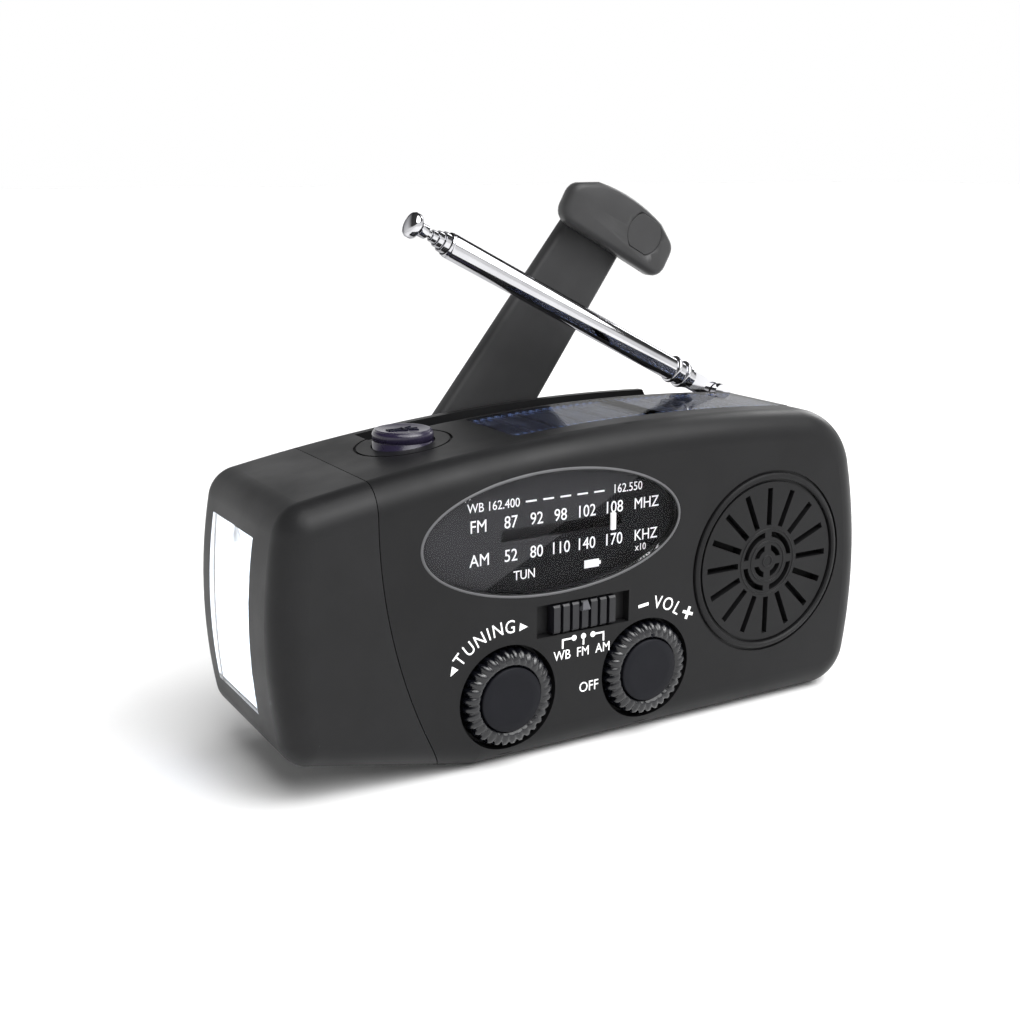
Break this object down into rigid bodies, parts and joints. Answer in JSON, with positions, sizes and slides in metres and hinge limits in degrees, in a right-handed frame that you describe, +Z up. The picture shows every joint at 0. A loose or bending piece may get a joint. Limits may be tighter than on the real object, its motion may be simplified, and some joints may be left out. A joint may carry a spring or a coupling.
{
  "type": "emergency radio",
  "caption": "Hand-cranked portable radio with a lamp in one end, a solar panel, a telescopic antenna, a tuning dial and a round speaker grille.",
  "frame": {"origin": "centre of the underside that the radio stands on", "axes": "+X along the length, away from the lamp; +Y to the back, where the crank is; +Z up"},
  "size_m": [0.128, 0.046, 0.1033],
  "materials": {
    "case_plastic": "satin charcoal, fine texture",
    "lamp_cap_plastic": "satin charcoal",
    "knob_plastic": "near-black, ribbed rim",
    "slider_plastic": "dark, ribbed",
    "button_plastic": "smoky blue, glossy",
    "lens_clear": "clear",
    "dial_window": "smoked, glossy, printed scale",
    "dial_face": "matt black",
    "pointer_white": "white",
    "panel_cover": "clear gloss",
    "solar_silicon": "deep blue silicon with silver fingers",
    "reflector_chrome": "vapour-plated",
    "led_epoxy": "clear epoxy dome",
    "circuit_board": "green solder mask",
    "component_plastic": "ivory",
    "switch_metal": "tinned",
    "speaker_paper": "black pressed paper",
    "magnet_ferrite": "sintered ferrite",
    "copper_wire": "enamelled copper winding",
    "cell_wrap": "shrink sleeve",
    "spring_steel": "nickel-plated",
    "chrome_tube": "polished",
    "bush_brass": "turned",
    "gear_nylon": "natural nylon",
    "arm_plastic": "satin charcoal",
    "grip_plastic": "satin black",
    "soft_rubber": "soft black",
    "screw_steel": "blackened"
  },
  "bodies": {
    "radio": {"front_cover": "case_plastic", "back_cover": "case_plastic", "lamp_housing": "lamp_cap_plastic", "lamp_lens": "lens_clear", "lamp_reflector": "reflector_chrome", "lamp_leds": "led_epoxy", "lamp_board": "circuit_board", "dial_lens": "dial_window", "dial_plate": "dial_face", "tuning_capacitor": "component_plastic", "volume_control": "component_plastic", "band_switch": "switch_metal", "lamp_switch": "switch_metal", "switch_board": "circuit_board", "solar_cover": "panel_cover", "solar_cell": "solar_silicon", "speaker_frame": "switch_metal", "speaker_cone": "speaker_paper", "speaker_magnet": "magnet_ferrite", "main_board": "circuit_board", "ferrite_rod": "magnet_ferrite", "ferrite_coil": "copper_wire", "battery_cell": "cell_wrap", "battery_contacts": "spring_steel", "usb_out_port": "switch_metal", "usb_in_port": "switch_metal", "port_board": "circuit_board", "crank_bush": "bush_brass", "gearbox_plate": "gear_nylon", "step_axle": "spring_steel", "generator_case": "switch_metal", "antenna_bracket": "chrome_tube", "antenna_pin": "chrome_tube", "cover_screws": "screw_steel", "rubber_feet": "soft_rubber"},
    "tuning": {"tuning_knob": "knob_plastic"},
    "pointer": {"dial_pointer": "pointer_white"},
    "volume": {"volume_knob": "knob_plastic"},
    "band": {"band_slider": "slider_plastic"},
    "button": {"lamp_button": "button_plastic"},
    "flap": {"port_cover": "soft_rubber"},
    "door": {"battery_door": "case_plastic"},
    "crank": {"crank_shaft": "spring_steel", "crank_gear": "gear_nylon", "crank_arm": "arm_plastic", "crank_screw": "screw_steel", "grip_pin": "spring_steel"},
    "handle": {"grip": "grip_plastic", "grip_cap": "grip_plastic"},
    "step": {"step_gear": "gear_nylon"},
    "rotor": {"rotor_magnet": "magnet_ferrite", "rotor_shaft": "spring_steel", "rotor_pinion": "bush_brass"},
    "antenna": {"antenna_knuckle": "chrome_tube", "antenna_section_1": "chrome_tube"},
    "section_2": {"antenna_section_2": "chrome_tube"},
    "section_3": {"antenna_section_3": "chrome_tube"},
    "section_4": {"antenna_section_4": "chrome_tube"},
    "section_5": {"antenna_section_5": "chrome_tube", "antenna_tip": "chrome_tube"}
  },
  "joints": [
    {"name": "tuning_turn", "type": "hinge", "parent": "radio", "child": "tuning", "pos_m": [-0.0208, -0.02, 0.0132], "axis": [0, 1, 0], "range_deg": [-168, 12]},
    {"name": "pointer_slide", "type": "slide", "parent": "radio", "child": "pointer", "axis": [1, 0, 0], "range_m": [-0.0225, 0.0017]},
    {"name": "volume_turn", "type": "hinge", "parent": "radio", "child": "volume", "pos_m": [0.0092, -0.02, 0.0132], "axis": [0, 1, 0], "range_deg": [-95, 150]},
    {"name": "band_slide", "type": "slide", "parent": "radio", "child": "band", "axis": [1, 0, 0], "range_m": [-0.0028, 0.0028]},
    {"name": "button_press", "type": "slide", "parent": "radio", "child": "button", "axis": [0, 0, -1], "range_m": [0, 0.001], "stiffness_N_per_m": 400},
    {"name": "flap_open", "type": "hinge", "parent": "radio", "child": "flap", "pos_m": [0.06305, 0.0005, 0.01225], "axis": [0, 1, 0], "range_deg": [0, 110]},
    {"name": "door_open", "type": "hinge", "parent": "radio", "child": "door", "pos_m": [0.0095, 0.0173, 0.0055], "axis": [-1, 0, 0], "range_deg": [0, 95]},
    {"name": "crank_spin", "type": "hinge", "parent": "radio", "child": "crank", "pos_m": [-0.022, 0.018, 0.03], "axis": [0, -1, 0], "continuous": true},
    {"name": "grip_spin", "type": "hinge", "parent": "crank", "child": "handle", "pos_m": [0.02499, 0.016, 0.09351], "axis": [0, -1, 0], "continuous": true},
    {"name": "step_spin", "type": "hinge", "parent": "radio", "child": "step", "pos_m": [-0.00641, 0.008, 0.03727], "axis": [0, -1, 0], "continuous": true},
    {"name": "rotor_spin", "type": "hinge", "parent": "radio", "child": "rotor", "pos_m": [0.00769, 0.002, 0.03727], "axis": [0, -1, 0], "continuous": true},
    {"name": "antenna_tilt", "type": "hinge", "parent": "radio", "child": "antenna", "pos_m": [0.049, 0.0102, 0.0582], "axis": [0, 1, 0], "range_deg": [-27.3, 95]},
    {"name": "antenna_slide_2", "type": "slide", "parent": "antenna", "child": "section_2", "axis": [-0.8886, 0, 0.4587], "range_m": [0, 0.052]},
    {"name": "antenna_slide_3", "type": "slide", "parent": "section_2", "child": "section_3", "axis": [-0.8886, 0, 0.4587], "range_m": [0, 0.0521]},
    {"name": "antenna_slide_4", "type": "slide", "parent": "section_3", "child": "section_4", "axis": [-0.8886, 0, 0.4587], "range_m": [0, 0.0521]},
    {"name": "antenna_slide_5", "type": "slide", "parent": "section_4", "child": "section_5", "axis": [-0.8886, 0, 0.4587], "range_m": [0, 0.0521]}
  ],
  "couplings": [
    {"joint": "pointer_slide", "follows": "tuning_turn", "m_per_rad": 0.0076394},
    {"joint": "step_spin", "follows": "crank_spin", "ratio": -3.75},
    {"joint": "rotor_spin", "follows": "crank_spin", "ratio": 13.75},
    {"joint": "antenna_slide_3", "follows": "antenna_slide_2", "ratio": 1},
    {"joint": "antenna_slide_4", "follows": "antenna_slide_2", "ratio": 1},
    {"joint": "antenna_slide_5", "follows": "antenna_slide_2", "ratio": 1}
  ]
}
